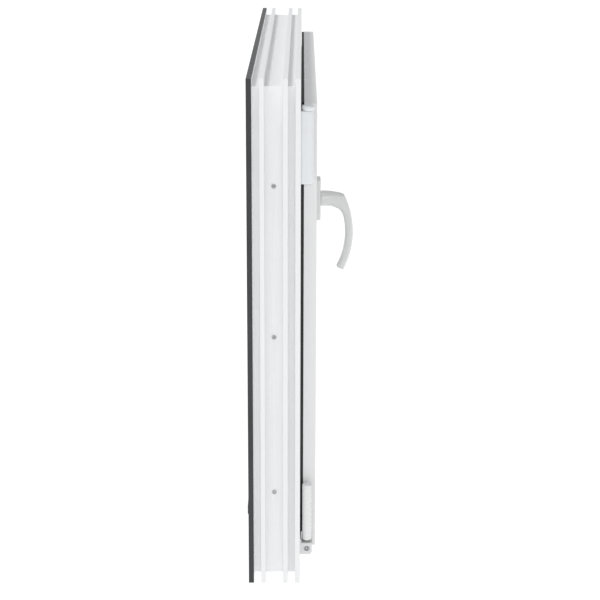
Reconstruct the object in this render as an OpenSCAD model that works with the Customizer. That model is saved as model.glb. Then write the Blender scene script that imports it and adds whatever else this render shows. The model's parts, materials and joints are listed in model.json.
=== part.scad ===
// Tilt-and-turn window: PVC outer frame, sash, glazing, hinges, espagnolette gear and lever handle.
// X runs along the width, +Z is up, the room is at -Y and the weather at +Y.
// The origin is under the middle of the sill, half way through the frame's depth.
// Sections are drawn in (u, v): u runs inwards from the frame's outer edge,
// and v from the weather face to the room.

/* [Frame] */
// Overall width of the outer frame
frame_w = 700; // [640:10:1200]
// Overall height of the outer frame
frame_h = 600; // [560:10:1400]
// Depth of the outer frame
frame_d = 60; // [60:1:60]
// Height of the ribs round the outside of the frame
rib_h = 9.5; // [6:0.5:12]
// Thickness of the profile walls
wall = 3; // [2.5:0.1:3.2]
// Thickness of the decor foil
foil_t = 0.6; // [0.3:0.1:0.8]

/* [Sash] */
// Distance from the frame's outer edge to the sash's overlap
overlap_u = 32.5; // [32:0.5:33]
// Distance from the frame's outer edge to the sash's grooved edge
sash_u = 52; // [52:1:52]
// Distance from the frame's outer edge to the visible glass
sight_u = 110; // [108:1:114]

/* [Handle] */
// Height of the handle's axis above the frame's underside
handle_z = 312; // [250:1:700]
// Distance from the sash's grooved edge to the spindle
backset = 15; // [15:1:15]
// Width of the lever's grip
grip_w = 19; // [14:1:22]
// Thickness of the lever's grip
grip_t = 12.6; // [9:0.1:14]

/* [Gear] */
// Travel of the rods for each half turn of the handle
rod_travel = 36; // [36:1:36]
// Teeth on the drive pinion
teeth = 12; // [12:1:12]
// Length of the scissor arm from its pin to the guide stud
arm_reach = 250; // [200:5:260]

/* [Hidden] */
$fn = 48;
eps = 0.05;
gap = 0.3;
ext_y = frame_d / 2;
rebate_u = 40;
leg_u = 62;
leg_v = 18;
sash_v0 = 22;
sash_v1 = 78;
over_v = 63.5;
bead_u = 92;
glass_u = 97;
glass_v0 = 36;
glass_t = 4;
glass_v1 = 60;
groove_v = 50.5;
plate_w = 16;
plate_t = 1.5;
axis_x = -frame_w / 2 + 23.5;
axis_v = 68.2;
axis_y = ext_y - axis_v;
tilt_z = 49;
handle_x = frame_w / 2 - sash_u - backset;
pitch_r = rod_travel / PI;
gear_m = 2 * pitch_r / teeth;
gear_pa = 25;
steel_screw_z = [112, 303, 479];
cam_h = 8;
cam_r = 3;
side_cams = [frame_h - 160, 190];
level_cams = [frame_w / 2 + 50, frame_w / 2 + 170];
stud_x = axis_x + arm_reach;
stud_s = stud_x + frame_w / 2;
groove_half = plate_w / 2 - 0.1;
corner_s = 116;
plate_s = corner_s + 2;
side_slots = [for (z = side_cams) [frame_h - z, frame_h - z + rod_travel]];
top_slots = [for (s = level_cams) [s, s + rod_travel]];
bottom_slots = [for (s = level_cams) [frame_w - s, frame_w - s + rod_travel]];
side_plate = [plate_s, frame_h - plate_s];
top_plate = [stud_s + 26.5, frame_w - plate_s];
bottom_plate = [plate_s, frame_w - 200];
plate_screw_in = 12;
plate_screw_r = 2;
rod_u = [sash_u + 1.9, sash_u + 4.4];
cover_r = 7.2;
cover_v = 67.1;
cover_wall = 1.4;
cover_z0 = frame_h - 121;
cover_z1 = frame_h - 38.5;
top_pin_r = 2.6;
arm_z = cover_z1 + gap;
arm_t = 2.6;
strip_v = 43.5;
strip_z = frame_h - 48.5;
strip_w = 14;
strip_t = 2.5;
plate_v = 62.8;
hinge_u = 23.5;
screw_head_r = 2.9;
bracket_screw_z = [cover_z0 + 9, cover_z0 + 15.5];
leg_screw = [45, 53];
block_z0 = 28.4;
block_z1 = 43;
block_v = 74.3;
adjust_z = 35.8;
swivel_r = 3;
tilt_r = 1.5;
band_z0 = 60;
band_z1 = 112;
band_v = 66;
band_screw_z = [70, 102];
band_screw_v = 40.5;
knuckle_r = 4.2;
handle_screw_z = [-21.5, 21.5];
handle_screw_r = 2.5;
boss_r = 7;
spindle_w = 7;
face_y = ext_y - sash_v1;
rosette_t = 12.5;
rosette_h = 66.5;
rosette_w = 31;
lever_y = face_y - rosette_t;
box_u1 = sash_u + 31;
bow_r = 133.5;
bow_c = [-82.4, -54];

// ---- Placing ----

// Length of side i: 0 hinge jamb, 1 sill, 2 lock jamb, 3 head
function side_len(i) = i % 2 == 0 ? frame_h : frame_w;

// Puts a local shape (x = u, y = -v, z = distance along the side) on side i
module side(i) {
    if (i == 0) translate([-frame_w / 2, ext_y, 0]) children();
    if (i == 1) translate([frame_w / 2, ext_y, 0]) rotate([0, -90, 0]) children();
    if (i == 2) translate([frame_w / 2, ext_y, frame_h]) rotate([0, 180, 0]) children();
    if (i == 3) translate([-frame_w / 2, ext_y, frame_h]) rotate([0, 90, 0]) children();
}

// A block on side i between two u, two v and two distances along the side
module block(i, u, v, s) {
    side(i) translate([u[0], -v[1], s[0]]) cube([u[1] - u[0], v[1] - v[0], s[1] - s[0]]);
}

// A rod along u on side i, at depth v and distance s
module peg(i, u, v, s, r) {
    side(i) translate([u[0], -v, s]) rotate([0, 90, 0]) cylinder(r = r, h = u[1] - u[0]);
}

// A rod along v on side i
module post(i, u, v, s, r) {
    side(i) translate([u, -v[0], s]) rotate([90, 0, 0]) cylinder(r = r, h = v[1] - v[0]);
}

// A mitred length of a section on side i, from u0 inwards
module mitred(i, u0, u1) {
    len = side_len(i);
    side(i) intersection() {
        linear_extrude(height = len) children();
        rotate([90, 0, 0]) translate([0, 0, -1])
            linear_extrude(height = sash_v1 + 2)
                polygon([[u0, u0], [u1, u1], [u1, len - u1], [u0, len - u0]]);
    }
}

// A rectangle of a section, given by its two u and two v
module rect(u, v) {
    translate([u[0], -v[1]]) square([u[1] - u[0], v[1] - v[0]]);
}

// ---- Sections ----

module frame_section() {
    difference() {
        union() {
            rect([foil_t, rib_h + 1], [foil_t, 6]);
            rect([0, rib_h + 1], [14.5, 19.7]);
            rect([0, rib_h + 1], [40.3, 45.8]);
            rect([0, rib_h + 1], [54, frame_d]);
            rect([rib_h, rebate_u], [foil_t, frame_d]);
            rect([rebate_u - 1, leg_u - foil_t], [foil_t, leg_v]);
        }
        rect([rib_h + wall, rebate_u - wall], [wall, 17]);
        rect([rib_h + wall, rebate_u - wall], [20, 44]);
        rect([rib_h + wall, rebate_u - wall], [47, frame_d - wall]);
        rect([rebate_u, leg_u - 8], [wall, leg_v - wall]);
        rect([leg_u - 5, leg_u - 2], [leg_v - 2, leg_v + 1]);
    }
}

module sash_section() {
    difference() {
        union() {
            rect([overlap_u, sash_u + 1], [over_v, sash_v1]);
            rect([sash_u, bead_u], [sash_v0 + foil_t, sash_v1]);
            rect([bead_u - 1, sight_u - foil_t], [sash_v0 + foil_t, glass_v0 - 2]);
        }
        rect([overlap_u + 6.5, sash_u - 2], [over_v + 4, sash_v1 - wall]);
        rect([sash_u + wall, bead_u - wall], [sash_v0 + wall, 33]);
        rect([sash_u + 3.5, sash_u + 7], [groove_v - 6, groove_v + 6]);
        rect([sash_u - 1, sash_u + plate_t], [groove_v - plate_w / 2, groove_v + plate_w / 2]);
        rect([sash_u + 1, sash_u + 4], [groove_v - 6, groove_v + 6]);
        rect([65, bead_u - wall], [36, 62]);
        rect([sash_u + wall, bead_u - 5], [65, sash_v1 - wall]);
        rect([bead_u - 2.5, bead_u + 1], [68, 71]);
        rect([bead_u + 2.5, sight_u - 4], [sash_v0 + wall, 31]);
        rect([sight_u - 3.5, sight_u - 1.5], [glass_v0 - 4, glass_v0 - 1]);
        rect([overlap_u + 1.5, overlap_u + 4.5], [over_v - 1, over_v + 2]);
    }
}

module bead_section() {
    difference() {
        union() {
            rect([bead_u + gap, sight_u], [glass_v1 + 2, sash_v1 - 6]);
            polygon([[bead_u + gap, -sash_v1 + 6.01], [sight_u, -sash_v1 + 6.01], [sight_u - 7, -sash_v1],
                [bead_u + gap, -sash_v1]]);
            rect([bead_u - 2.2, bead_u + 1], [68.3, 70.7]);
        }
        rect([bead_u + 3, sight_u - 2.5], [glass_v1 + 5, sash_v1 - 8]);
        rect([sight_u - 4.5, sight_u - 2], [glass_v1 + 1, glass_v1 + 3.5]);
    }
}

module steel_section(u0, u1, v0, v1) {
    difference() {
        rect([u0, u1], [v0, v1]);
        rect([u0 + 1.5, u1 - 1.5], [v0 + 1.5, v1 - 1.5]);
    }
}

// ---- Outer frame ----

// Place of the k-th of a jamb's three screws: near its end, in the middle, near its other end
function screw_at(i, k) = i == 0 ? steel_screw_z[k] : frame_h - steel_screw_z[k];

// Holes for the steel's screws, which only the jambs have
module steel_screw_holes(i) {
    if (i % 2 == 0) for (k = [0:2]) peg(i, [rib_h - 1, 20], 30, screw_at(i, k), 2.1);
}

module frame_member(i) {
    color("white") difference() {
        mitred(i, 0, leg_u) frame_section();
        steel_screw_holes(i);
    }
}

module frame_jamb_hinge() {
    color("white") difference() {
        frame_member(0);
        for (z = bracket_screw_z) post(0, hinge_u, [45, frame_d + 1], z, 1.7);
        peg(0, [rebate_u - 4, rebate_u + 1], leg_screw[0], leg_screw[1], 1.9);
    }
}
module frame_jamb_lock() { frame_member(2); }
module frame_head() { frame_member(3); }
module frame_sill() { frame_member(1); }

module frame_foil() {
    color("dimgray") for (i = [0:3]) mitred(i, 0, leg_u) {
        rect([0, leg_u], [0, foil_t]);
        rect([0, foil_t], [0, 6]);
        rect([leg_u - foil_t, leg_u], [0, leg_v - 4]);
    }
}

module frame_steels() {
    color("silver") for (i = [0:3]) difference() {
        mitred(i, 0, leg_u) steel_section(rib_h + wall + gap, rebate_u - wall - gap, 20 + gap, 44 - gap);
        for (s = [0, side_len(i) - 60]) block(i, [0, 60], [10, 50], [s, s + 60]);
        steel_screw_holes(i);
    }
}

module frame_steel_screws() {
    color("gray") for (i = [0, 2]) for (k = [0:2]) {
        difference() {
            union() {
                peg(i, [rib_h - 1.2, rib_h], 30, screw_at(i, k), 2.9);
                peg(i, [rib_h - eps, 18], 30, screw_at(i, k), 1.9);
            }
            peg(i, [rib_h - 2, rib_h - 0.6], 30, screw_at(i, k), 1.5);
        }
    }
}

module frame_gasket() {
    color("black") for (i = [0:3]) mitred(i, 0, leg_u) {
        rect([leg_u - 4.9, leg_u - 2.1], [leg_v - 1.9, leg_v + 0.1]);
        rect([leg_u - 5.2, leg_u - 1.2], [leg_v + eps, sash_v0 - 0.5]);
    }
}

module drain_caps() {
    color("dimgray") for (x = [-190, 190]) translate([x, ext_y + eps, 0]) rotate([90, 0, 90])
        linear_extrude(height = 38, center = true)
            polygon([[0, 17], [4.6, 17], [6.5, 19], [6.5, 30], [1.4, 37], [0, 37]]);
}

module keep(i, s) {
    block(i, [rebate_u + eps, rebate_u + 1.5], [41, 59], [s - 32, s + 32]);
    block(i, [rebate_u + 1.4, rebate_u + 3], [57, 59], [s - 26, s + 26]);
    block(i, [rebate_u + 1.4, rebate_u + 6], [41, 43], [s - 26, s + 26]);
}

// Each keep lies round the middle of its cam's travel
module keep_plates() {
    color("silver") {
        for (z = side_cams) keep(2, frame_h - z + rod_travel / 2);
        for (s = level_cams) keep(3, s + rod_travel / 2);
        for (s = level_cams) keep(1, frame_w - s + rod_travel / 2);
    }
}

// ---- Top hinge ----

module at_axis(z) {
    translate([axis_x, axis_y, z]) children();
}

// A rod along X through the hinge axis at height z
module along_x(x, z, r, h) {
    translate([x, axis_y, z]) rotate([0, 90, 0]) cylinder(r = r, h = h);
}

// A D-shaped outline: a half round towards the room with straight sides back to the frame
module cover_outline(r, back) {
    translate([axis_x, ext_y - cover_v]) union() {
        circle(r = r);
        translate([-r, 0]) square([2 * r, back]);
    }
}

module top_hinge_bracket() {
    color("silver") difference() {
        union() {
            translate([axis_x - 5, ext_y - 62.3, cover_z0 + 2]) cube([10, 2.25, 78]);
            translate([axis_x - 4, ext_y - 67, cover_z0 + 21]) cube([8, 5, 59]);
            at_axis(cover_z0 + 21) cylinder(r = 4.3, h = 59);
        }
        at_axis(cover_z0 + 11) cylinder(r = top_pin_r + 0.02, h = 80);
        for (z = bracket_screw_z) post(0, hinge_u, [55, 64], z, 1.7);
    }
}

module top_hinge_pin() {
    color("silver") union() {
        at_axis(cover_z0 + 22) cylinder(r = top_pin_r, h = 64.5);
        at_axis(arm_z + 3) cylinder(r = 5, h = 1.4);
    }
}

module top_hinge_cover() {
    color("white") difference() {
        translate([0, 0, cover_z0]) linear_extrude(height = cover_z1 - cover_z0)
            cover_outline(cover_r, cover_v - frame_d - eps);
        translate([0, 0, cover_z0 + cover_wall]) linear_extrude(height = cover_z1 - cover_z0 - 2.6)
            cover_outline(cover_r - cover_wall, 8);
        at_axis(cover_z1 - 11) cylinder(r = top_pin_r + gap, h = 20);
    }
}

module bracket_screws() {
    color("gray") {
        for (z = bracket_screw_z) {
            post(0, hinge_u, [46, 62.4], z, 1.6);
            post(0, hinge_u, [62.35, 63.6], z, screw_head_r);
        }
        peg(0, [rebate_u - 3.5, rebate_u + 1.9], leg_screw[0], leg_screw[1], 1.8);
        peg(0, [rebate_u + 1.87, rebate_u + 2.9], leg_screw[0], leg_screw[1], 3);
    }
}

// ---- Scissor arm ----

module scissor_arm() {
    color("silver") difference() {
        union() {
            at_axis(arm_z) cylinder(r = 6.6, h = arm_t);
            translate([axis_x, ext_y - axis_v, arm_z]) cube([8.5, 7.4, arm_t]);
            translate([axis_x + 7.6, ext_y - plate_v, strip_z]) cube([15, 2, arm_z + arm_t - strip_z]);
            translate([axis_x + 18.6, ext_y - plate_v, strip_z]) cube([strip_w, plate_v - strip_v, strip_t]);
            translate([axis_x + 18.6, ext_y - strip_v - strip_w, strip_z])
                cube([arm_reach - 6, strip_w, strip_t]);
        }
        at_axis(strip_z) cylinder(r = top_pin_r + eps, h = 20);
        translate([stud_x - 5, ext_y - groove_v - 4.1, strip_z - 5]) cube([14, 8.2, 12]);
    }
}

// The cap over the arm's eye, open towards the arm
module arm_cap() {
    color("white") difference() {
        at_axis(arm_z) cylinder(r = 7.3, h = 5.6);
        at_axis(arm_z - 1) cylinder(r = 6.65, h = 5.8);
        translate([axis_x, ext_y - axis_v - 0.4, arm_z - 1]) cube([10, 8.2, 4]);
    }
}

module guide_stud() {
    color("gray") union() {
        peg(3, [sash_u - 11, sash_u + 3], groove_v, stud_s, 2.5);
        peg(3, [sash_u - 11, sash_u - 10], groove_v, stud_s, 5);
        block(3, [sash_u + 2, sash_u + 6], [groove_v - 5.5, groove_v + 5.5], [stud_s - 9, stud_s + 9]);
    }
}

// ---- Bottom hinge ----

module bottom_hinge_bracket() {
    color("white") difference() {
        union() {
            translate([axis_x, 0, 0]) rotate([90, 0, 90]) linear_extrude(height = 14.4, center = true)
                polygon([[ext_y - frame_d - eps, block_z0], [ext_y - frame_d - eps, block_z1],
                    [ext_y - block_v, block_z1], [ext_y - block_v, block_z0 + 3],
                    [ext_y - block_v + 2.5, block_z0]]);
            translate([axis_x - cover_r, ext_y - 61.8, block_z1 - 2]) cube([26, 1.75, 7]);
            translate([axis_x + 16.55, ext_y - 61.8, block_z1 - 2]) cube([1.8, 23.8, 17]);
        }
        at_axis(31) cylinder(r = swivel_r + eps, h = 20);
        at_axis(block_z0 - 1) linear_extrude(height = 20) polygon([[5, -7], [8, -7], [8, -3.6]]);
        along_x(axis_x - 10, adjust_z, 2.05, 8);
        along_x(axis_x - 8, adjust_z, 3.45, 2.3);
        peg(0, [rebate_u - 1, rebate_u + 4], leg_screw[0], leg_screw[1], 1.9);
    }
}

module bottom_adjusting_screw() {
    color("gray") {
        difference() {
            along_x(axis_x - 7.6, adjust_z, 3.4, 1.8);
            along_x(axis_x - 8, adjust_z, 1.9, 1.5, $fn = 6);
        }
        along_x(axis_x - 5.8, adjust_z, 2, 2.3);
    }
}

module swivel_pin() {
    color("silver") difference() {
        union() {
            at_axis(31.5) cylinder(r = swivel_r, h = 12);
            at_axis(block_z1 + gap) cylinder(r = knuckle_r, h = 1.2);
            translate([axis_x - 1.6, axis_y - 3, block_z1 + 1]) cube([3.2, 6, tilt_z - block_z1 - 1]);
            along_x(axis_x - 1.6, tilt_z, 3, 3.2);
        }
        along_x(axis_x - 5, tilt_z, tilt_r + eps, 10);
    }
}

module tilt_pin() {
    color("gray") along_x(axis_x - 4, tilt_z, tilt_r, 8);
}

module sash_hinge_band() {
    color("silver") difference() {
        union() {
            at_axis(45.8) cylinder(r = knuckle_r, h = 68.2);
            translate([axis_x, ext_y - band_v, band_z0]) cube([27, 2, band_z1 - band_z0]);
            translate([axis_x + 26.2, ext_y - band_v, band_z0]) cube([2.2, 28, band_z1 - band_z0]);
        }
        translate([axis_x - 1.9, axis_y - 5, 45]) cube([3.8, 10, 8.2]);
        along_x(axis_x - 5, tilt_z, tilt_r + 0.02, 10);
        for (z = band_screw_z) peg(0, [sash_u - 4, sash_u + 1], band_screw_v, z, 1.9);
    }
}

module sash_hinge_cover() {
    color("white") difference() {
        at_axis(45.6) cylinder(r = 5.6, h = 70.9);
        at_axis(45) cylinder(r = 4.3, h = 69.4);
        translate([axis_x, ext_y - band_v - 0.4, band_z0 - 0.4]) cube([10, 2.8, band_z1 - band_z0 + 0.8]);
    }
}

module band_screws() {
    color("gray") for (z = band_screw_z) {
        peg(0, [sash_u - 3.4, sash_u - 2.35], band_screw_v, z, 3);
        peg(0, [sash_u - 2.4, sash_u + 11], band_screw_v, z, 1.8);
    }
}

// ---- Sash ----

module sash_member(i) {
    mitred(i, overlap_u, sight_u) sash_section();
}

// The recess for the hinge band behind the overlap, and its screws
module sash_stile_hinge() {
    color("white") difference() {
        sash_member(0);
        block(0, [overlap_u - 1, sash_u], [over_v - 1, 66.3], [band_z0 - 1, band_z1 + 1]);
        for (z = band_screw_z) peg(0, [sash_u - 1, 65], band_screw_v, z, 1.9);
    }
}

// The pocket for the gearbox and the holes for the handle
module sash_stile_lock() {
    color("white") difference() {
        sash_member(2);
        block(2, [sash_u - 1, box_u1 + 0.5], [44.5, 56.5],
            [frame_h - handle_z - 28, frame_h - handle_z + 28]);
        post(2, sash_u + backset, [50, 80], frame_h - handle_z, boss_r);
        for (dz = handle_screw_z)
            post(2, sash_u + backset, [50, 80], frame_h - handle_z + dz, handle_screw_r + 0.2);
    }
}
module sash_rail_top() { color("white") sash_member(3); }
module sash_rail_bottom() { color("white") sash_member(1); }

module sash_foil() {
    color("dimgray") for (i = [0:3]) mitred(i, overlap_u, sight_u) {
        rect([sash_u, sight_u], [sash_v0, sash_v0 + foil_t]);
        rect([sight_u - foil_t, sight_u], [sash_v0, glass_v0 - 2]);
    }
}

module sash_steels() {
    color("silver") for (i = [0:3]) difference() {
        mitred(i, overlap_u, sight_u) steel_section(65 + gap, bead_u - wall - gap, 36 + gap, 62 - gap);
        for (s = [0, side_len(i) - 115]) block(i, [50, 110], [20, 70], [s, s + 115]);
        if (i == 2) block(2, [50, box_u1 + 2], [30, 70], [frame_h - handle_z - 30, frame_h - handle_z + 30]);
    }
}

// The overlap gasket stops at the hinge plates, and its lip stands clear at the bottom for the tilt
module sash_gasket() {
    color("black") difference() {
        for (i = [0:3]) mitred(i, overlap_u, sight_u) {
            rect([overlap_u + 1.6, overlap_u + 4.4], [over_v - 0.1, over_v + 1.9]);
            rect([overlap_u + 0.4, overlap_u + (i == 1 ? 4.2 : 5.2)], [i == 1 ? 62.3 : 60.5, over_v - eps]);
        }
        block(0, [30, 45], [55, 66.5], [30, 50]);
        block(0, [30, 45], [over_v - 0.2, 66.5], [band_z0 - 2, band_z1 + 2]);
        block(0, [30, 45], [55, 66.5], [frame_h - 60, frame_h - 30]);
        block(3, [30, 45], [55, 66.5], [30, 48]);
        block(2, [30, 45], [55, 62.3], [frame_h - 56, frame_h - 30]);
    }
}

module glass_outer() { color("lightblue", 0.4) pane(glass_v0); }
module glass_inner() { color("lightblue", 0.4) pane(glass_v1 - glass_t); }

module pane(v) {
    translate([-frame_w / 2 + glass_u, ext_y - v - glass_t, glass_u])
        cube([frame_w - 2 * glass_u, glass_t, frame_h - 2 * glass_u]);
}

module glass_spacer() {
    v0 = glass_v0 + glass_t + eps;
    v1 = glass_v1 - glass_t - eps;
    color("gray") for (i = [0:3]) mitred(i, glass_u, sight_u) rect([glass_u + 4, glass_u + 11], [v0, v1]);
}

module glazing_blocks() {
    color("black") {
        for (i = [0:3]) for (s = [170, side_len(i) - 210])
            block(i, [bead_u + eps, glass_u - eps], [glass_v0 + 1, glass_v1 - 1], [s, s + 40]);
    }
}

module beads_upright() { color("white") for (i = [0, 2]) mitred(i, overlap_u, sight_u) bead_section(); }
module beads_level() { color("white") for (i = [1, 3]) mitred(i, overlap_u, sight_u) bead_section(); }

module glazing_gasket_outer() {
    color("black") for (i = [0:3]) mitred(i, overlap_u, sight_u) {
        rect([sight_u - 3.4, sight_u - 1.6], [glass_v0 - 3.9, glass_v0 - 1.9]);
        rect([sight_u - 4.6, sight_u - 0.2], [glass_v0 - 2 + eps, glass_v0 - eps]);
    }
}

module glazing_gasket_inner() {
    color("black") for (i = [0:3]) mitred(i, overlap_u, sight_u) {
        rect([sight_u - 4.4, sight_u - 2.1], [glass_v1 + 1.9, glass_v1 + 3.4]);
        rect([sight_u - 5.4, sight_u + 0.6], [glass_v1 + eps, glass_v1 + 2 - eps]);
    }
}

// ---- Gear in the sash groove ----

module plate(i, ends, slots) {
    s0 = ends[0];
    s1 = ends[1];
    difference() {
        block(i, [sash_u + eps, sash_u + plate_t], [groove_v - groove_half, groove_v + groove_half],
            [s0, s1]);
        for (s = slots) block(i, [sash_u - 1, sash_u + 3], [groove_v - cam_r - 0.4, groove_v + cam_r + 0.4],
            [s[0] - cam_r - 1, s[1] + cam_r + 1]);
        for (s = [s0 + plate_screw_in, s1 - plate_screw_in])
            peg(i, [sash_u - 1, sash_u + 3], groove_v, s, plate_screw_r);
    }
}

module faceplate_side() { color("silver") plate(2, side_plate, side_slots); }
module faceplate_top() { color("silver") plate(3, top_plate, top_slots); }
module faceplate_bottom() { color("silver") plate(1, bottom_plate, bottom_slots); }

module plate_screws(i, ends) {
    for (s = [ends[0] + plate_screw_in, ends[1] - plate_screw_in]) {
        peg(i, [sash_u - 0.4, sash_u + plate_t - 1], groove_v, s, plate_screw_r - eps);
        peg(i, [sash_u + 0.2, sash_u + 3.4], groove_v, s, 1.5);
    }
}

module faceplate_screws() {
    color("gray") {
        plate_screws(2, side_plate);
        plate_screws(3, top_plate);
        plate_screws(1, bottom_plate);
    }
}

// The bent corner strips, which carry the flexible bands round the sash's lock-side corners
module corner_drives() {
    u = [sash_u + eps, sash_u + plate_t];
    v = [groove_v - groove_half, groove_v + groove_half];
    color("silver") {
        union() {
            block(2, u, v, [sash_u + eps, corner_s]);
            block(3, u, v, [frame_w - corner_s, frame_w - sash_u - eps]);
        }
        union() {
            block(2, u, v, [frame_h - corner_s, frame_h - sash_u - eps]);
            block(1, u, v, [sash_u + eps, corner_s]);
        }
    }
}

// A flat rod on side i
module rod(i, s0, s1) {
    block(i, rod_u, [groove_v - 5, groove_v + 5], [s0, s1]);
}

module cam(i, s) {
    peg(i, [sash_u - cam_h, rod_u[0] - eps], groove_v, s, cam_r);
}

module drive_rod_side() {
    bar = gear_m * PI / 2 - 0.3;
    lean = tan(gear_pa);
    pitch_u = sash_u + backset - pitch_r;
    half = function(u) bar / 2 - lean * (u - pitch_u);
    color("silver") difference() {
        rod(2, 145, 430);
        for (k = [-2:8]) side(2)
            translate([0, -groove_v + 3.3, frame_h - handle_z - k * gear_m * PI]) rotate([90, 0, 0])
                linear_extrude(height = 6.6) polygon([
                    [rod_u[0] - 1, -gear_m * PI / 2 + half(rod_u[0] - 1)],
                    [rod_u[1] + 0.5, -gear_m * PI / 2 + half(rod_u[1] + 0.5)],
                    [rod_u[1] + 0.5, gear_m * PI / 2 - half(rod_u[1] + 0.5)],
                    [rod_u[0] - 1, gear_m * PI / 2 - half(rod_u[0] - 1)]]);
    }
}
module drive_rod_top() { color("silver") rod(3, top_plate[0] + 29.5, 530); }
module drive_rod_bottom() { color("silver") rod(1, 165, 440); }
module cams_side() { color("gray") for (z = side_cams) cam(2, frame_h - z); }
module cams_top() { color("gray") for (s = level_cams) cam(3, s); }
module cams_bottom() { color("gray") for (s = level_cams) cam(1, frame_w - s); }

module at_handle(y) {
    translate([handle_x, y, handle_z]) children();
}

module gearbox_housing() {
    u = [sash_u + 5, box_u1];
    color("silver") difference() {
        block(2, u, [44.8, 56.2], [frame_h - handle_z - 27, frame_h - handle_z + 27]);
        block(2, [sash_u + 4, box_u1 - 2], [47.2, 53.8], [frame_h - handle_z - 14, frame_h - handle_z + 14]);
        at_handle(0) rotate([90, 0, 0]) cylinder(r = boss_r + 0.06, h = 200, center = true);
    }
}

function inv(a) = tan(a) - a * PI / 180;

// One flank of a tooth: radius r against the angle of the flank from the tooth's middle
function flank(r, base_r, half_at_pitch) =
    half_at_pitch + (inv(gear_pa) - (r <= base_r ? 0 : inv(acos(base_r / r)))) * 180 / PI;

module drive_pinion() {
    base_r = pitch_r * cos(gear_pa);
    root_r = pitch_r - 1.5;
    tip_r = pitch_r + 1.4;
    half_at_pitch = (gear_m * PI / 2 - 0.3) / 2 / pitch_r * 180 / PI;
    radii = [root_r, base_r, 10.9, 11.5, 12.1, 12.5, tip_r];
    outline = [for (k = [0:teeth - 1]) for (p = concat(
        [for (r = radii) [r, -flank(r, base_r, half_at_pitch)]],
        [for (n = [6:-1:0]) [radii[n], flank(radii[n], base_r, half_at_pitch)]]))
        [p[0] * cos(p[1] + k * 360 / teeth), p[0] * sin(p[1] + k * 360 / teeth)]];
    color("gray") difference() {
        union() {
            at_handle(ext_y - 53.5) rotate([-90, 0, 0]) linear_extrude(height = 6) polygon(outline);
            at_handle(ext_y - 56) rotate([-90, 0, 0]) cylinder(r = boss_r, h = 11);
        }
        at_handle(ext_y - 50) cube([spindle_w + 0.2, 40, spindle_w + 0.2], center = true);
    }
}

// ---- Handle ----

module spindle() {
    color("gray") translate([handle_x - spindle_w / 2, lever_y - 14, handle_z - spindle_w / 2])
        cube([spindle_w, sash_v1 + rosette_t - 45.5 + 14, spindle_w]);
}

module rosette_base() {
    color("silver") difference() {
        at_handle(face_y - eps) rotate([90, 0, 0]) linear_extrude(height = 5.9)
            rounded_plate(rosette_w - 5, rosette_h - 5, 5);
        at_handle(0) rotate([90, 0, 0]) cylinder(r = boss_r, h = 200, center = true);
        for (dz = handle_screw_z) at_handle(0) translate([0, 0, dz]) rotate([90, 0, 0])
            cylinder(r = handle_screw_r + 0.2, h = 200, center = true);
    }
}

module handle_screws() {
    color("gray") for (dz = handle_screw_z) at_handle(0) translate([0, 0, dz]) rotate([90, 0, 0]) {
        translate([0, 0, -face_y + 6]) cylinder(r = 4.4, h = 2.2);
        translate([0, 0, 27]) cylinder(r = handle_screw_r, h = -face_y + 6 - 27 + eps);
    }
}

module rounded_plate(w, h, r) {
    union() {
        square([w - 2 * r, h], center = true);
        square([w, h - 2 * r], center = true);
        for (x = [-1, 1]) for (y = [-1, 1]) translate([x * (w / 2 - r), y * (h / 2 - r)]) circle(r = r);
    }
}

module rosette_cover() {
    color("whitesmoke") difference() {
        at_handle(face_y - eps) rotate([90, 0, 0]) linear_extrude(height = rosette_t - eps)
            rounded_plate(rosette_w, rosette_h, 7);
        at_handle(face_y + 1) rotate([90, 0, 0]) linear_extrude(height = rosette_t - 1)
            rounded_plate(rosette_w - 3.6, rosette_h - 3.6, 5.2);
        at_handle(0) rotate([90, 0, 0]) cylinder(r = 10.4, h = 200, center = true);
    }
}

function bow(r, a) = [bow_c[0] + r * cos(a), bow_c[1] + r * sin(a)];

// The lever in side view: its neck stands out from the rosette and its grip hangs in a bow
module lever() {
    outer = [for (k = [0:12]) bow(bow_r, 26.6 - 53.4 * k / 12)];
    inner = [for (k = [0:9]) bow(bow_r - grip_t, -26.8 + 40 * k / 9)];
    neck = [[30.5, -18.5], [25.7, -15.3], [20, -13], [13, -12]];
    profile = concat([[13, 11.9], [30, 8.6]], outer, inner, neck);
    color("whitesmoke") difference() {
        union() {
            at_handle(lever_y + 4) rotate([90, 0, 0]) cylinder(r = 10, h = 6);
            at_handle(lever_y - 0.4) rotate([90, 0, 0]) cylinder(r = 12.2, h = 14.6);
            at_handle(lever_y) rotate([0, 0, -90]) rotate([90, 0, 0])
                linear_extrude(height = grip_w, center = true) polygon(profile);
        }
        at_handle(lever_y) cube([spindle_w + 0.1, 28.2, spindle_w + 0.1], center = true);
    }
}

frame_jamb_hinge();
frame_jamb_lock();
frame_head();
frame_sill();
frame_foil();
frame_steels();
frame_steel_screws();
frame_gasket();
drain_caps();
keep_plates();
top_hinge_bracket();
top_hinge_pin();
top_hinge_cover();
bracket_screws();
bottom_hinge_bracket();
bottom_adjusting_screw();
swivel_pin();
sash_stile_hinge();
sash_stile_lock();
sash_rail_top();
sash_rail_bottom();
sash_foil();
sash_steels();
sash_gasket();
glass_outer();
glass_inner();
glass_spacer();
glazing_blocks();
beads_upright();
beads_level();
glazing_gasket_outer();
glazing_gasket_inner();
sash_hinge_band();
tilt_pin();
sash_hinge_cover();
band_screws();
gearbox_housing();
faceplate_side();
faceplate_top();
faceplate_bottom();
faceplate_screws();
corner_drives();
guide_stud();
rosette_base();
rosette_cover();
handle_screws();
scissor_arm();
arm_cap();
lever();
spindle();
drive_pinion();
drive_rod_side();
cams_side();
drive_rod_top();
cams_top();
drive_rod_bottom();
cams_bottom();
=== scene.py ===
import json
import math

import bmesh
import bpy
from mathutils import Matrix, Vector


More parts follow.
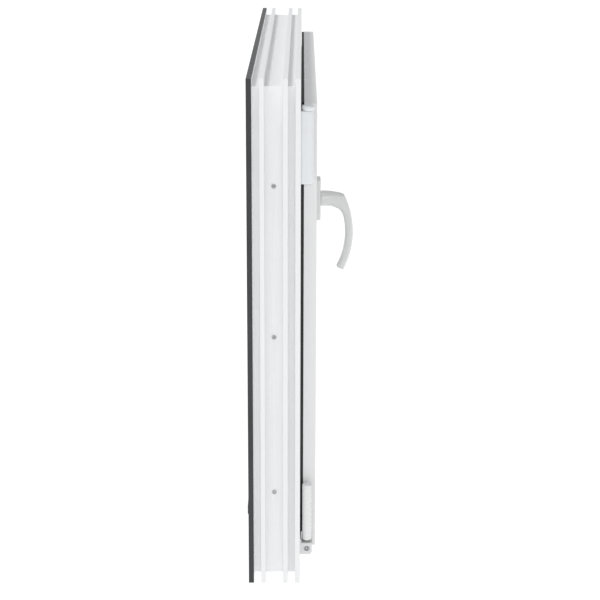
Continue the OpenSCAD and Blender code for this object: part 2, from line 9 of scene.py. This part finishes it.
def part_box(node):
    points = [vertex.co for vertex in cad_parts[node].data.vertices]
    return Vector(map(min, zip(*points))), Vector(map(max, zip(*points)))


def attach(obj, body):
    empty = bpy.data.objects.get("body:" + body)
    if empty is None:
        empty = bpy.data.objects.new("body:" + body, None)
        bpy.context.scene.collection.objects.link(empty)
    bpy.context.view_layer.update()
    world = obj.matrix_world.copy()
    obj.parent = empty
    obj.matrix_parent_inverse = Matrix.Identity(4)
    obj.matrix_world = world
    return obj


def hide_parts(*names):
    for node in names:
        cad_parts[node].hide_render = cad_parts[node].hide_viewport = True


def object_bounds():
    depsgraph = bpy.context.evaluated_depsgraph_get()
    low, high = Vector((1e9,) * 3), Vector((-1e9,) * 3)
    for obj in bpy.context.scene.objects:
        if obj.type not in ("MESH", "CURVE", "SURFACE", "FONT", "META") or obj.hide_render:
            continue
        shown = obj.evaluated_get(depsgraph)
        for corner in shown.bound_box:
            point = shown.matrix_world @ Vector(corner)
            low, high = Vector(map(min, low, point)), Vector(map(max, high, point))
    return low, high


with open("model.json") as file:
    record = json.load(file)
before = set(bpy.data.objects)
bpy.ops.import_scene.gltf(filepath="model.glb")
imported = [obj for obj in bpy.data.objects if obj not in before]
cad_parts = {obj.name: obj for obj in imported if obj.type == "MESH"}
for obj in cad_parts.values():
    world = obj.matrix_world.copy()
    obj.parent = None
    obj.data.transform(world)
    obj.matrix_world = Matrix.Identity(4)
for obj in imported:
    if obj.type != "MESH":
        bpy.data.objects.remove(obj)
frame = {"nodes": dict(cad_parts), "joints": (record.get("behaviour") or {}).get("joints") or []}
cad_lo, cad_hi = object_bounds()
nodes = frame["nodes"]
MM = 0.001

# ---- Node helpers ----


def tree_of(name):
    m = bpy.data.materials.new(name)
    m.use_nodes = True
    t = m.node_tree
    return m, t, t.nodes["Principled BSDF"]


def link(t, a, b):
    t.links.new(a, b)


def coords(t, scale=(1, 1, 1)):
    """Object coordinates stretched by scale, in metres."""
    tc = t.nodes.new("ShaderNodeTexCoord")
    mp = t.nodes.new("ShaderNodeMapping")
    mp.inputs["Scale"].default_value = scale
    link(t, tc.outputs["Object"], mp.inputs["Vector"])
    return mp.outputs["Vector"]


def noise(t, vector, scale, detail=4.0, rough=0.55):
    n = t.nodes.new("ShaderNodeTexNoise")
    n.inputs["Scale"].default_value = scale
    n.inputs["Detail"].default_value = detail
    n.inputs["Roughness"].default_value = rough
    link(t, vector, n.inputs["Vector"])
    return n.outputs["Fac"]


def spread(t, fac, lo, hi, start=0.3, end=0.7):
    r = t.nodes.new("ShaderNodeMapRange")
    r.inputs["From Min"].default_value = start
    r.inputs["From Max"].default_value = end
    r.inputs["To Min"].default_value = lo
    r.inputs["To Max"].default_value = hi
    link(t, fac, r.inputs["Value"])
    return r.outputs["Result"]


def tint(t, fac, dark, light):
    r = t.nodes.new("ShaderNodeValToRGB")
    r.color_ramp.elements[0].position = 0.32
    r.color_ramp.elements[0].color = (*dark, 1)
    r.color_ramp.elements[1].position = 0.68
    r.color_ramp.elements[1].color = (*light, 1)
    link(t, fac, r.inputs["Fac"])
    return r.outputs["Color"]


def bump(t, height, strength, distance, normal=None):
    b = t.nodes.new("ShaderNodeBump")
    b.inputs["Strength"].default_value = strength
    b.inputs["Distance"].default_value = distance
    link(t, height, b.inputs["Height"])
    if normal is not None:
        link(t, normal, b.inputs["Normal"])
    return b.outputs["Normal"]


def surface(name, dark, light, rough, stretch, grain, grain_depth, blotch, metallic=0.0, coat=0.0):
    """A moulded, extruded or rolled surface: slow tone drift, finer gloss variation and a fine relief."""
    m, t, p = tree_of(name)
    slow = noise(t, coords(t), blotch)
    fine = noise(t, coords(t, stretch), grain, 3.0)
    link(t, tint(t, slow, dark, light), p.inputs["Base Color"])
    link(t, spread(t, noise(t, coords(t, stretch), grain / 6), rough[0], rough[1]), p.inputs["Roughness"])
    link(t, bump(t, fine, grain_depth, 0.0004), p.inputs["Normal"])
    p.inputs["Metallic"].default_value = metallic
    p.inputs["Coat Weight"].default_value = coat
    p.inputs["Coat Roughness"].default_value = 0.12
    return m


# ---- Materials ----

UPRIGHT = (1, 1, 0.015)
LEVEL = (0.015, 1, 1)
WHITE_D, WHITE_L = (0.90, 0.905, 0.91), (0.92, 0.925, 0.93)
# The sash is the same white PVC as the frame; its darker tone is painted shade for its recess behind the
# frame
SASH_SHADED_D, SASH_SHADED_L = (0.845, 0.847, 0.848), (0.87, 0.872, 0.874)

EVEN = (1, 1, 1)

# Dark tone, light tone, roughness range, stretch, grain, grain depth, blotch, metallic, coat
FINISHES = {
    "frame_upright": (WHITE_D, WHITE_L, (0.26, 0.34), UPRIGHT, 700, 0.02, 9, 0.0, 0.1),
    "frame_level": (WHITE_D, WHITE_L, (0.26, 0.34), LEVEL, 700, 0.02, 9, 0.0, 0.1),
    # Sash rows: the frame's white darkened by painted shade
    "sash_upright_shaded": (SASH_SHADED_D, SASH_SHADED_L, (0.26, 0.34), UPRIGHT, 700, 0.02, 9, 0.0, 0.1),
    "sash_level_shaded": (SASH_SHADED_D, SASH_SHADED_L, (0.26, 0.34), LEVEL, 700, 0.02, 9, 0.0, 0.1),
    "rubber": ((0.012, 0.012, 0.013), (0.022, 0.022, 0.023), (0.55, 0.72), EVEN, 1800, 0.25, 30),
    "cap": ((0.045, 0.047, 0.05), (0.058, 0.06, 0.063), (0.4, 0.52), EVEN, 2600, 0.3, 30),
    "hinge_cap": ((0.85, 0.87, 0.89), (0.88, 0.90, 0.92), (0.2, 0.28), EVEN, 2200, 0.02, 40, 0.0, 0.25),
    "barrel_cap": ((0.88, 0.883, 0.883), (0.905, 0.908, 0.908), (0.22, 0.3), EVEN, 2200, 0.02, 40, 0.0, 0.2),
    "bracket_paint": ((0.76, 0.76, 0.76), (0.82, 0.82, 0.82), (0.32, 0.42), EVEN, 1500, 0.16, 40, 0.0, 0.1),
    "block_blue": ((0.04, 0.15, 0.34), (0.06, 0.2, 0.42), (0.4, 0.5), EVEN, 1500, 0.2, 40),
    "rosette_plastic": ((0.84, 0.85, 0.845), (0.87, 0.88, 0.875), (0.3, 0.38), EVEN, 2600, 0.08, 40,
                        0.0, 0.1),
    "lever_lacquer": ((0.84, 0.845, 0.842), (0.87, 0.875, 0.872), (0.26, 0.33), EVEN, 1300, 0.08, 30,
                      0.0, 0.2),
    "spacer": ((0.5, 0.51, 0.52), (0.58, 0.59, 0.6), (0.3, 0.42), EVEN, 1800, 0.12, 60, 1.0),
    "turned_steel": ((0.42, 0.42, 0.43), (0.52, 0.52, 0.53), (0.24, 0.38), (1, 1, 0.15), 2600, 0.15, 120,
                     1.0),
}
mats = {name: surface(name, *finish) for name, finish in FINISHES.items()}


def foil():
    """Anthracite film with an embossed, lengthwise grain in both directions of the mitred frame."""
    m, t, p = tree_of("decor_foil")
    slow = noise(t, coords(t), 20)
    link(t, tint(t, slow, (0.020, 0.021, 0.023), (0.031, 0.033, 0.036)), p.inputs["Base Color"])
    link(t, spread(t, noise(t, coords(t), 350), 0.36, 0.5), p.inputs["Roughness"])
    pores = noise(t, coords(t, (1, 1, 0.06)), 900, 2.0, 0.4)
    sand = noise(t, coords(t), 2800, 2.0)
    link(t, bump(t, sand, 0.16, 0.0003, bump(t, pores, 0.3, 0.0004)), p.inputs["Normal"])
    p.inputs["Coat Weight"].default_value = 0.15
    p.inputs["Coat Roughness"].default_value = 0.3
    return m


def zinc():
    """Galvanised sheet: flat crystal patches of slightly different tone and gloss."""
    m, t, p = tree_of("zinc_steel")
    cells = t.nodes.new("ShaderNodeTexVoronoi")
    cells.inputs["Scale"].default_value = 260
    link(t, coords(t), cells.inputs["Vector"])
    bw = t.nodes.new("ShaderNodeRGBToBW")
    link(t, cells.outputs["Color"], bw.inputs["Color"])
    link(t, tint(t, bw.outputs["Val"], (0.52, 0.53, 0.54), (0.66, 0.67, 0.68)), p.inputs["Base Color"])
    link(t, spread(t, bw.outputs["Val"], 0.28, 0.42), p.inputs["Roughness"])
    link(t, bump(t, noise(t, coords(t), 1800), 0.1, 0.0003), p.inputs["Normal"])
    p.inputs["Metallic"].default_value = 1.0
    return m


def glass():
    m, t, p = tree_of("float_glass")
    slow = noise(t, coords(t), 3, 2.0)
    link(t, tint(t, slow, (0.90, 0.965, 0.945), (0.92, 0.975, 0.955)), p.inputs["Base Color"])
    link(t, spread(t, noise(t, coords(t), 40), 0.0, 0.02), p.inputs["Roughness"])
    link(t, bump(t, slow, 0.02, 0.001), p.inputs["Normal"])
    p.inputs["Transmission Weight"].default_value = 1.0
    p.inputs["IOR"].default_value = 1.52
    return m


mats["foil"] = foil()
mats["zinc"] = zinc()
mats["glass"] = glass()

PAINT = {
    "frame_upright": ["frame_jamb_hinge", "frame_jamb_lock"],
    "frame_level": ["frame_head", "frame_sill"],
    "sash_upright_shaded": ["sash_stile_hinge", "sash_stile_lock", "beads_upright"],
    "sash_level_shaded": ["sash_rail_top", "sash_rail_bottom", "beads_level"],
    "foil": ["frame_foil", "sash_foil"],
    "rubber": ["frame_gasket", "sash_gasket", "glazing_gasket_outer", "glazing_gasket_inner"],
    "cap": ["drain_caps"],
    "hinge_cap": ["top_hinge_cover", "arm_cap"],
    "barrel_cap": ["sash_hinge_cover"],
    "bracket_paint": ["bottom_hinge_bracket"],
    "block_blue": ["glazing_blocks"],
    "glass": ["glass_outer", "glass_inner"],
    "spacer": ["glass_spacer"],
    "rosette_plastic": ["rosette_cover"],
    "lever_lacquer": ["lever"],
    "zinc": ["frame_steels", "sash_steels", "keep_plates", "top_hinge_bracket", "faceplate_side",
             "faceplate_top", "faceplate_bottom", "corner_drives", "scissor_arm", "drive_rod_side",
             "drive_rod_top", "drive_rod_bottom", "gearbox_housing", "sash_hinge_band", "rosette_base"],
    "turned_steel": ["frame_steel_screws", "bracket_screws", "band_screws", "faceplate_screws",
                     "handle_screws", "guide_stud", "swivel_pin", "tilt_pin", "top_hinge_pin", "spindle",
                     "drive_pinion", "cams_side", "cams_top", "cams_bottom", "bottom_adjusting_screw"],
}
# Bevel of each material's sharp edges, in millimetres
EDGE = {"frame_upright": 0.45, "frame_level": 0.45, "sash_upright_shaded": 0.55, "sash_level_shaded": 0.55, "foil": 0.15,
        "rubber": 0.4, "cap": 0.7, "hinge_cap": 0.9, "barrel_cap": 0.9, "bracket_paint": 0.7,
        "block_blue": 0.3, "glass": 0.3, "spacer": 0.3, "rosette_plastic": 0.8, "lever_lacquer": 0.8,
        "zinc": 0.2, "turned_steel": 0.15}


def soften(o, width, segments=2):
    """Joins the split edges of an imported node, merges its flat faces and rounds its sharp edges."""
    w = o.modifiers.new("join", "WELD")
    w.merge_threshold = 1e-6
    d = o.modifiers.new("planes", "DECIMATE")
    d.decimate_type = "DISSOLVE"
    d.angle_limit = math.radians(0.1)
    b = o.modifiers.new("edges", "BEVEL")
    b.width = width * MM
    b.segments = segments
    b.limit_method = "ANGLE"
    b.angle_limit = math.radians(38)
    b.use_clamp_overlap = True
    b.loop_slide = False
    f = o.modifiers.new("flats", "EDGE_SPLIT")
    f.split_angle = math.radians(24)
    f.use_edge_sharp = False


for key, names in PAINT.items():
    for n in names:
        o = nodes[n]
        o.data.materials.clear()
        o.data.materials.append(mats[key])
        soften(o, EDGE[key])
missing = sorted(set(nodes) - {n for names in PAINT.values() for n in names})
if missing:
    raise RuntimeError(f"no material for {missing}")

# ---- Refined pieces ----


def add(name, bm, material, body, replaced):
    """Turns a bmesh in row coordinates into a piece that rides a body and stands for a CAD node."""
    bmesh.ops.recalc_face_normals(bm, faces=bm.faces)
    me = bpy.data.meshes.new(name)
    bm.to_mesh(me)
    bm.free()
    me.materials.append(mats[material])
    me.shade_smooth()
    o = bpy.data.objects.new(name, me)
    bpy.context.scene.collection.objects.link(o)
    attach(o, body)
    if replaced:
        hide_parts(replaced)
    return o


def skin(bm, rings, cap_start=True, cap_end=True):
    """Joins closed rings of points, all with the same count, into one shell."""
    loops = [[bm.verts.new(p) for p in ring] for ring in rings]
    n = len(loops[0])
    for a, b in zip(loops, loops[1:]):
        for i in range(n):
            bm.faces.new((a[i], a[(i + 1) % n], b[(i + 1) % n], b[i]))
    if cap_start:
        bm.faces.new(list(reversed(loops[0])))
    if cap_end:
        bm.faces.new(loops[-1])


def power(c, e):
    return math.copysign(abs(c) ** e, c)


joint = {j["name"]: j for j in frame["joints"]}
HANDLE_X, _, HANDLE_Z = joint["handle_turn"]["pos_m"]
ROSETTE_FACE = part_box("rosette_cover")[0].y


def lever_rings():
    """Sections from the neck at the rosette, round the bend and down the bowed grip, in millimetres."""
    def bow(r, deg):
        a = math.radians(deg)
        return (-82.4 + r * math.cos(a), -54 + r * math.sin(a))

    pairs = [((0.4, 12.2), (0.4, -12.2), 12.2, 2.0), ((4, 12.2), (4, -12.2), 12.2, 2.0),
             ((9, 12.15), (9, -12.15), 12.1, 2.05), ((13, 11.9), (13, -12), 11.9, 2.2),
             ((18, 11.1), (17.6, -12.5), 11.5, 2.5), ((23, 10.1), (21.6, -13.5), 11.0, 2.8),
             ((27.5, 9.2), (25, -14.9), 10.6, 3.1), ((31, 8.4), (27.4, -16.2), 10.3, 3.3),
             ((34.2, 7.3), (29, -17.4), 10.1, 3.4), ((36.3, 6.35), (30.1, -18.3), 10.0, 3.4),
             ((36.9, 6.0), (30.6, -18.9), 9.95, 3.4), ((37.1, 5.4), (31.0, -19.5), 9.9, 3.4),
             (bow(133.5, 25.4), (31.7, -20.5), 9.8, 3.4), (bow(133.5, 23.2), (33, -22.6), 9.7, 3.4),
             (bow(133.5, 20.4), (34.3, -24.9), 9.6, 3.4),
             (bow(133.5, 17.2), bow(120.9, 12.2), 9.5, 3.4)]
    for k in range(1, 21):
        f = k / 20
        pairs.append((bow(133.5, 17.2 - 43.6 * f), bow(120.9, 12.2 - 38.6 * f), 9.5, 3.4))
    return pairs


def build_lever():
    n = 48
    bm = bmesh.new()
    rings = []

    def ring(o, i, half, e, inset=0.0, push=(0.0, 0.0)):
        cx, cz = (o[0] + i[0]) / 2 + push[0], (o[1] + i[1]) / 2 + push[1]
        hx, hz = (o[0] - i[0]) / 2, (o[1] - i[1]) / 2
        size = math.hypot(hx, hz)
        s = (size - inset) / size
        pts = []
        for k in range(n):
            a = 2 * math.pi * k / n
            u, w = power(math.sin(a), 2 / e), power(math.cos(a), 2 / e)
            pts.append((HANDLE_X + w * (half - inset) * MM, ROSETTE_FACE - (cx + u * hx * s) * MM,
                        HANDLE_Z + (cz + u * hz * s) * MM))
        return pts

    sections = lever_rings()
    first = sections[0]
    rings.append(ring(*first, inset=2.2, push=(4.4, 0)))
    rings.append(ring(*first, inset=2.2, push=(-0.4, 0)))
    rings.append(ring(*first, inset=0.5, push=(-0.35, 0)))
    rings.append(ring(*first, inset=0.0, push=(0.15, 0)))
    rings += [ring(*s) for s in sections[1:]]
    last, before = sections[-1], sections[-2]
    d = ((last[0][0] + last[1][0] - before[0][0] - before[1][0]) / 2,
         (last[0][1] + last[1][1] - before[0][1] - before[1][1]) / 2)
    size = math.hypot(*d)
    d = (d[0] / size, d[1] / size)
    for inset, out in ((0.0, 0.6), (0.08, 0.85), (0.35, 1.0), (0.8, 1.02), (2.5, 1.02)):
        rings.append(ring(*last, inset=inset, push=(d[0] * out, d[1] * out)))
    skin(bm, rings)
    o = add("lever_cast", bm, "lever_lacquer", "handle", "lever")
    sub = o.modifiers.new("smooth", "SUBSURF")
    sub.levels = sub.render_levels = 1
    return o


def rounded_rect(cx, cz, w, h, r, n=64):
    """Points round a rectangle with rounded corners, by equal angle, so that rings match one another."""
    pts = []
    for k in range(n):
        a = 2 * math.pi * (k + 0.5) / n
        dx, dz = math.cos(a), math.sin(a)
        lo, hi = 0.0, max(w, h)
        for _ in range(40):
            mid = (lo + hi) / 2
            qx, qz = abs(dx * mid) - (w / 2 - r), abs(dz * mid) - (h / 2 - r)
            outside = math.hypot(max(qx, 0), max(qz, 0)) + min(max(qx, qz), 0) - r
            lo, hi = (mid, hi) if outside < 0 else (lo, mid)
        pts.append((cx + dx * lo, cz + dz * lo))
    return pts


def build_rosette():
    lo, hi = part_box("rosette_cover")
    w, h = (hi.x - lo.x) / MM, (hi.z - lo.z) / MM
    n = 96
    bm = bmesh.new()

    def level(inset, y, r):
        return [(HANDLE_X + x * MM, y, HANDLE_Z + z * MM)
                for x, z in rounded_rect(0, 0, w - 2 * inset, h - 2 * inset, max(r - inset, 1.0), n)]

    def circle(r, y):
        return [(HANDLE_X + r * MM * math.cos(2 * math.pi * (k + 0.5) / n), y,
                 HANDLE_Z + r * MM * math.sin(2 * math.pi * (k + 0.5) / n)) for k in range(n)]

    base, front = hi.y, lo.y
    rings = [level(1.8, base, 7), level(0.25, base, 7), level(0, base - 0.3 * MM, 7)]
    rings.append(level(0.15, front + 2.2 * MM, 7))
    for k in range(1, 6):
        a = math.pi / 2 * k / 5
        rings.append(level(0.15 + 1.6 * (1 - math.cos(a)), front + (2.2 - 2.0 * math.sin(a)) * MM, 7))
    rings.append(level(3.2, front + 0.08 * MM, 7))
    rings.append(circle(13.2, front + 0.05 * MM))
    rings.append(circle(12.9, front + 0.35 * MM))
    rings.append(circle(12.6, front + 0.4 * MM))
    rings.append(circle(10.6, front + 0.4 * MM))
    rings.append(circle(10.4, front + 0.6 * MM))
    rings.append(circle(10.4, front + 1.8 * MM))
    rings.append(level(1.8, front + 1.8 * MM, 7))
    skin(bm, rings + [rings[0]], cap_start=False, cap_end=False)
    bmesh.ops.remove_doubles(bm, verts=bm.verts, dist=1e-7)
    return add("rosette_shell", bm, "rosette_plastic", "sash", "rosette_cover")


def screw_heads(name, body, replaced, seats, head_r, head_h, shank_r, recess):
    """Pan heads with a cross recess. A seat is (centre of the head's underside, way out, shank length)."""
    n = 48
    bm = bmesh.new()
    for at, out, length in seats:
        z = Vector(out)
        x = z.orthogonal().normalized()
        y = z.cross(x)

        def ring(r, h, cross=0.0):
            pts = []
            for k in range(n):
                a = 2 * math.pi * k / n
                rr = r * (1 - cross * (0.5 - 0.5 * math.cos(4 * a)))
                pts.append(tuple(Vector(at) + (x * math.cos(a) + y * math.sin(a)) * rr * MM + z * h * MM))
            return pts

        shank = [ring(shank_r * 0.2, -length), ring(shank_r * 0.9, -length + 0.8),
                 ring(shank_r, -length + 1.6), ring(shank_r, 0)]
        head = [ring(head_r * 0.96, 0), ring(head_r, head_h * 0.12), ring(head_r, head_h * 0.45),
                ring(head_r * 0.93, head_h * 0.72), ring(head_r * 0.8, head_h * 0.9),
                ring(head_r * 0.68, head_h)]
        cross = [ring(recess, head_h, 0.5), ring(recess * 0.94, head_h - 0.08, 0.55),
                 ring(recess * 0.55, head_h * 0.25, 0.4)]
        skin(bm, shank + head + cross)
    return add(name, bm, "turned_steel", body, replaced)


JAMB_SCREW_Z = (0.112, 0.303, 0.479)


def jamb_screws():
    """The reinforcement's screws: three in each jamb's channel."""
    lo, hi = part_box("frame_steel_screws")
    head_h = 1.15
    seats = []
    for side in (-1, 1):
        face = (hi.x if side > 0 else lo.x) - side * head_h * MM
        for z in JAMB_SCREW_Z:
            seats.append(((face, 0.0, z), (side, 0, 0), 9.0))
    screw_heads("jamb_screws", "frame", "frame_steel_screws", seats, 2.6, head_h, 1.85, 1.6)


def adjusting_screw():
    """The lateral adjuster: a chamfered cheese head with a hexagon socket, sunk in the bracket's side."""
    lo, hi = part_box("bottom_adjusting_screw")
    y, z = (lo.y + hi.y) / 2, (lo.z + hi.z) / 2
    n = 48
    bm = bmesh.new()

    def ring(r, depth, sides=0):
        pts = []
        for k in range(n):
            a = 2 * math.pi * k / n
            rr = r
            if sides:
                half = math.pi / sides
                rr = r * math.cos(half) / math.cos((a % (2 * half)) - half)
            pts.append((lo.x + depth * MM, y - rr * math.cos(a) * MM, z + rr * math.sin(a) * MM))
        return pts

    end = (hi.x - lo.x) / MM
    shank = [ring(0.3, end), ring(1.8, end), ring(2.0, end - 0.2), ring(2.0, 1.8)]
    head = [ring(2.65, 1.8), ring(2.7, 1.7), ring(2.7, 0.4), ring(2.6, 0.2), ring(2.4, 0.02), ring(2.1, 0.0)]
    socket = [ring(1.95, 0.12, 6), ring(1.9, 0.25, 6), ring(1.9, 1.4, 6), ring(0.6, 1.6)]
    skin(bm, shank + head + socket)
    add("adjuster_cast", bm, "turned_steel", "frame", "bottom_adjusting_screw")


def arc_steps(radius, count=5):
    """(inset, drop) pairs round a quarter circle, from the flat end to the side."""
    angles = [math.pi / 2 * k / count for k in range(count + 1)]
    return [(radius * (1 - math.sin(a)), radius * (1 - math.cos(a))) for a in angles]


AXIS_X, AXIS_Y, _ = joint["sash_turn"]["pos_m"]


def build_top_cover():
    """The D-shaped cover: round towards the room, flat against the frame, with a soft lower edge."""
    lo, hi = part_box("top_hinge_cover")
    r = (hi.x - lo.x) / 2
    cy = lo.y + r
    bm = bmesh.new()

    def outline(inset, z):
        q = r - inset
        pts = [(AXIS_X + q * math.cos(a), cy + q * math.sin(a), z)
               for a in (math.pi + math.pi * k / 32 for k in range(33))]
        back = hi.y - inset * 0.3
        pts += [(AXIS_X + q, cy + (back - cy) * f, z) for f in (0.3, 0.65, 0.9)]
        pts += [(AXIS_X + q * f, back, z) for f in (0.93, 0.6, 0.2, -0.2, -0.6, -0.93)]
        pts += [(AXIS_X - q, cy + (back - cy) * f, z) for f in (0.9, 0.65, 0.3)]
        return pts

    rings = [outline(i * MM, lo.z + d * MM) for i, d in arc_steps(3.2, 8)]
    rings += [outline(0, lo.z + (hi.z - lo.z) * f) for f in (0.25, 0.5, 0.75, 0.97)]
    rings += [outline(i * MM, hi.z - d * MM) for i, d in reversed(arc_steps(0.2, 2))]
    skin(bm, rings)
    add("top_cover_shell", bm, "hinge_cap", "frame", "top_hinge_cover")


def turned(name, profile, material, body, replaced, n=64):
    """A shell turned about the hinge axis from (radius, height) pairs in metres, closed on itself."""
    bm = bmesh.new()
    rings = [[(AXIS_X + r * math.cos(2 * math.pi * k / n), AXIS_Y + r * math.sin(2 * math.pi * k / n), z)
              for k in range(n)] for r, z in profile]
    skin(bm, rings)
    return add(name, bm, material, body, replaced)


def build_arm_cap():
    lo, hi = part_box("arm_cap")
    r = (hi.x - lo.x) / 2
    inner = r - 0.65 * MM
    roof = hi.z - 0.8 * MM
    profile = [(0.4 * MM, roof), (inner - 0.3 * MM, roof), (inner, roof - 0.3 * MM), (inner, lo.z + 0.1 * MM),
               (inner + 0.1 * MM, lo.z), (r - 0.15 * MM, lo.z), (r, lo.z + 0.15 * MM)]
    profile += [(r - i * MM, hi.z - d * MM) for i, d in reversed(arc_steps(1.9, 7))]
    profile.append((0.4 * MM, hi.z))
    turned("arm_cap_shell", profile, "hinge_cap", "arm", "arm_cap")


def build_lower_cover():
    """The cover sleeve on the sash's hinge barrel, closed by a low dome."""
    lo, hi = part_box("sash_hinge_cover")
    r = hi.x - AXIS_X
    bore = r - 1.3 * MM
    roof = hi.z - 1.9 * MM
    profile = [(0.3 * MM, roof), (bore, roof), (bore, lo.z + 0.15 * MM), (bore + 0.15 * MM, lo.z),
               (r - 0.35 * MM, lo.z), (r - 0.1 * MM, lo.z + 0.1 * MM), (r, lo.z + 0.35 * MM)]
    profile += [(r, lo.z + (hi.z - lo.z) * f) for f in (0.3, 0.6, 0.9)]
    profile += [(r - i * MM, hi.z - d * MM) for i, d in reversed(arc_steps(1.9, 7))]
    profile.append((0.3 * MM, hi.z))
    turned("lower_cover_sleeve", profile, "barrel_cap", "sash", "sash_hinge_cover")


build_lever()
build_rosette()
jamb_screws()
build_top_cover()
build_arm_cap()
build_lower_cover()
adjusting_screw()

# ---- Stage, light and camera ----

# The window hangs clear of the floor, which therefore shows no contact shadow
FLOOR_DROP = 0.55
FLOOR_RADIUS = 30


def stage_floor():
    bm = bmesh.new()
    bmesh.ops.create_circle(bm, cap_ends=True, radius=FLOOR_RADIUS, segments=96)
    me = bpy.data.meshes.new("floor")
    bm.to_mesh(me)
    bm.free()
    o = bpy.data.objects.new("floor", me)
    bpy.context.scene.collection.objects.link(o)
    o.location.z = cad_lo.z - FLOOR_DROP
    m, t, p = tree_of("studio_floor")
    link(t, tint(t, noise(t, coords(t), 6), (0.50, 0.50, 0.50), (0.53, 0.53, 0.53)),
         p.inputs["Base Color"])
    p.inputs["Roughness"].default_value = 0.85
    p.inputs["Emission Color"].default_value = (1, 1, 1, 1)
    p.inputs["Emission Strength"].default_value = 0.58
    me.materials.append(m)


stage_floor()


def sun(name, from_dir, strength, angle):
    """A large, far softbox: parallel light with a wide soft edge."""
    d = bpy.data.lights.new(name, "SUN")
    d.energy = strength
    d.angle = math.radians(angle)
    o = bpy.data.objects.new(name, d)
    bpy.context.scene.collection.objects.link(o)
    o.location = Vector(from_dir) * 3
    o.rotation_euler = Vector(from_dir).to_track_quat("Z", "Y").to_euler()


sun("from_weather_side", (0.10, 0.46, 0.95), 1.38, 18)
sun("from_hinge_side", (-1.0, -0.05, 0.38), 0.50, 14)


def studio_world():
    """A pale studio: brightest on the weather side, dimmer towards the room."""
    w = bpy.data.worlds.new("studio")
    w.use_nodes = True
    t = w.node_tree
    tc = t.nodes.new("ShaderNodeTexCoord")
    sep = t.nodes.new("ShaderNodeSeparateXYZ")
    link(t, tc.outputs["Generated"], sep.inputs["Vector"])
    link(t, spread(t, sep.outputs["Y"], 0.40, 0.66, -0.8, 0.8), t.nodes["Background"].inputs["Strength"])
    t.nodes["Background"].inputs["Color"].default_value = (0.985, 0.992, 1, 1)
    bpy.context.scene.world = w


studio_world()

# A long lens beside the hinge jamb, looking along the window's width and 14 degrees down
LENS_MM = 85.1844
CAMERA_AT = (-1.86592, -0.03089, 0.84146)
YAW, PITCH, ROLL = -0.0043, 0.2499, 0.0040
cam_data = bpy.data.cameras.new("camera")
cam_data.sensor_width = 36
cam_data.lens = LENS_MM
cam_data.shift_x = -0.0125
cam_data.shift_y = -0.15
cam_data.clip_end = 100
cam = bpy.data.objects.new("camera", cam_data)
bpy.context.scene.collection.objects.link(cam)
look = Vector((math.cos(PITCH) * math.cos(YAW), math.cos(PITCH) * math.sin(YAW), -math.sin(PITCH)))
right = look.cross(Vector((0, 0, 1))).normalized()
up = right.cross(look)
right_r = right * math.cos(ROLL) + up * math.sin(ROLL)
up_r = up * math.cos(ROLL) - right * math.sin(ROLL)
cam.matrix_world = Matrix.Translation(CAMERA_AT) @ Matrix(
    (right_r, up_r, -look)).transposed().to_4x4()
bpy.context.scene.camera = cam
bpy.context.scene.view_settings.view_transform = "Standard"
